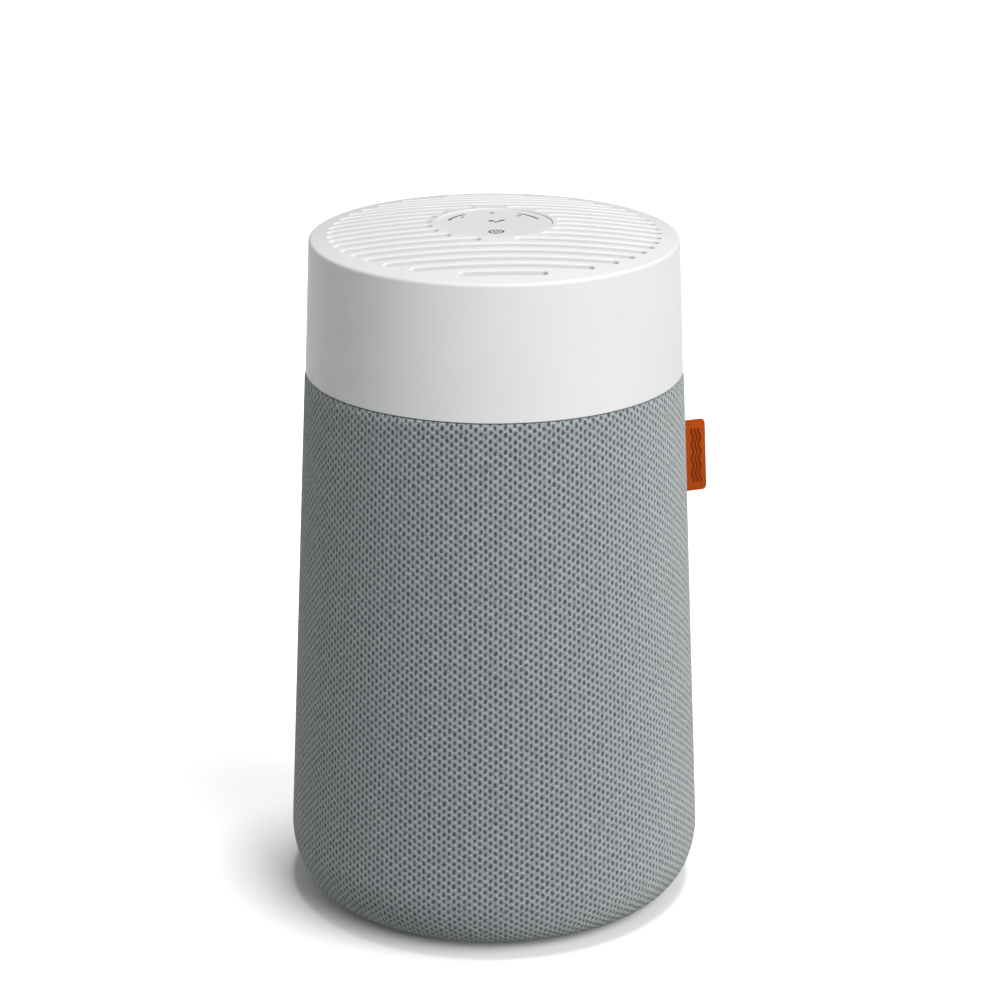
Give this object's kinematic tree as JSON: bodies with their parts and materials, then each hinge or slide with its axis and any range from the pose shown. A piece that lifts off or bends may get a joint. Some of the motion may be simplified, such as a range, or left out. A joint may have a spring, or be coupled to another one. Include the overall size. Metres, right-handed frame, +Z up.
{
  "type": "air purifier",
  "caption": "Round tapered tower air purifier with a knitted fabric sleeve, a slotted domed white cap with a round control panel, a side tag and a twist-off base.",
  "frame": {"origin": "centre of the round footprint, on the floor", "axes": "+Z up along the tower, -Y towards the front of the control panel, +X towards the side tag"},
  "size_m": [0.2834, 0.2798, 0.462],
  "materials": {
    "white_shell": "fine satin moulded white",
    "panel_grey": "satin light grey",
    "smoked_lens": "smoked glossy lens",
    "grey_fabric": "knitted two-tone grey polyester",
    "orange_tag": "satin orange moulded tag",
    "frame_plastic": "moulded dark grey",
    "inner_plastic": "moulded off-white",
    "fan_plastic": "moulded light grey",
    "base_plastic": "fine texture white",
    "inlet_plastic": "satin white",
    "black_plastic": "black",
    "lead_grey": "grey insulation",
    "board_green": "solder mask",
    "steel": "zinc plated",
    "magnet": "ferrite",
    "brass": "tinned brass and copper wire",
    "aluminium": "cast",
    "rubber": "black elastomer",
    "gasket": "soft foam rubber",
    "filter_paper": "pleated fibre paper",
    "carbon": "carbon coated fibre",
    "filter_ring": "moulded blue grey"
  },
  "bodies": {
    "housing": {"top_shell": "white_shell", "shell_screws": "steel", "panel_disc": "panel_grey", "button_spring": "steel", "button_switch": "black_plastic", "left_light_guide": "smoked_lens", "right_light_guide": "smoked_lens", "indicator_lenses": "smoked_lens", "control_board": "board_green", "control_board_parts": "black_plastic", "panel_bracket": "inner_plastic", "panel_ribbon": "lead_grey", "power_inlet": "inlet_plastic", "inlet_pins": "brass", "mains_leads": "lead_grey", "power_board": "board_green", "power_board_parts": "black_plastic", "power_board_screws": "steel", "particle_sensor": "black_plastic", "outlet_diffuser": "inner_plastic", "fan_housing": "inner_plastic", "fan_housing_screws": "steel", "inlet_bellmouth": "inner_plastic", "bellmouth_screws": "steel", "motor_base": "aluminium", "motor_bearings": "steel", "motor_core": "steel", "motor_windings": "brass", "motor_grommets": "rubber", "motor_screws": "steel", "motor_lead": "lead_grey", "tower_frame": "frame_plastic", "fabric_sleeve": "grey_fabric", "sleeve_top_band": "frame_plastic", "sleeve_bottom_band": "rubber", "side_tag": "orange_tag", "filter_media": "filter_paper", "carbon_layer": "carbon", "filter_core": "inner_plastic", "filter_top_ring": "filter_ring", "filter_bottom_cap": "filter_ring", "filter_gasket": "gasket", "filter_pull_tab": "orange_tag"},
    "rotor": {"motor_shaft": "steel", "rotor_can": "steel", "rotor_magnets": "magnet", "fan_impeller": "fan_plastic", "impeller_nut": "steel"},
    "base": {"base_cover": "base_plastic", "rubber_feet": "rubber"},
    "key": {"power_button": "panel_grey"}
  },
  "joints": [
    {"name": "fan_spin", "type": "hinge", "parent": "housing", "child": "rotor", "pos_m": [0, 0, 0.36], "axis": [0, 0, 1], "continuous": true},
    {"name": "base_twist", "type": "hinge", "parent": "housing", "child": "base", "pos_m": [0, 0, 0.0146], "axis": [0, 0, -1], "range_deg": [0, 20]},
    {"name": "power_button_press", "type": "slide", "parent": "housing", "child": "key", "axis": [0, 0, -1], "range_m": [0, 0.0009], "stiffness_N_per_m": 1200, "springref_m": -0.0004, "deforming": ["button_spring"]}
  ]
}
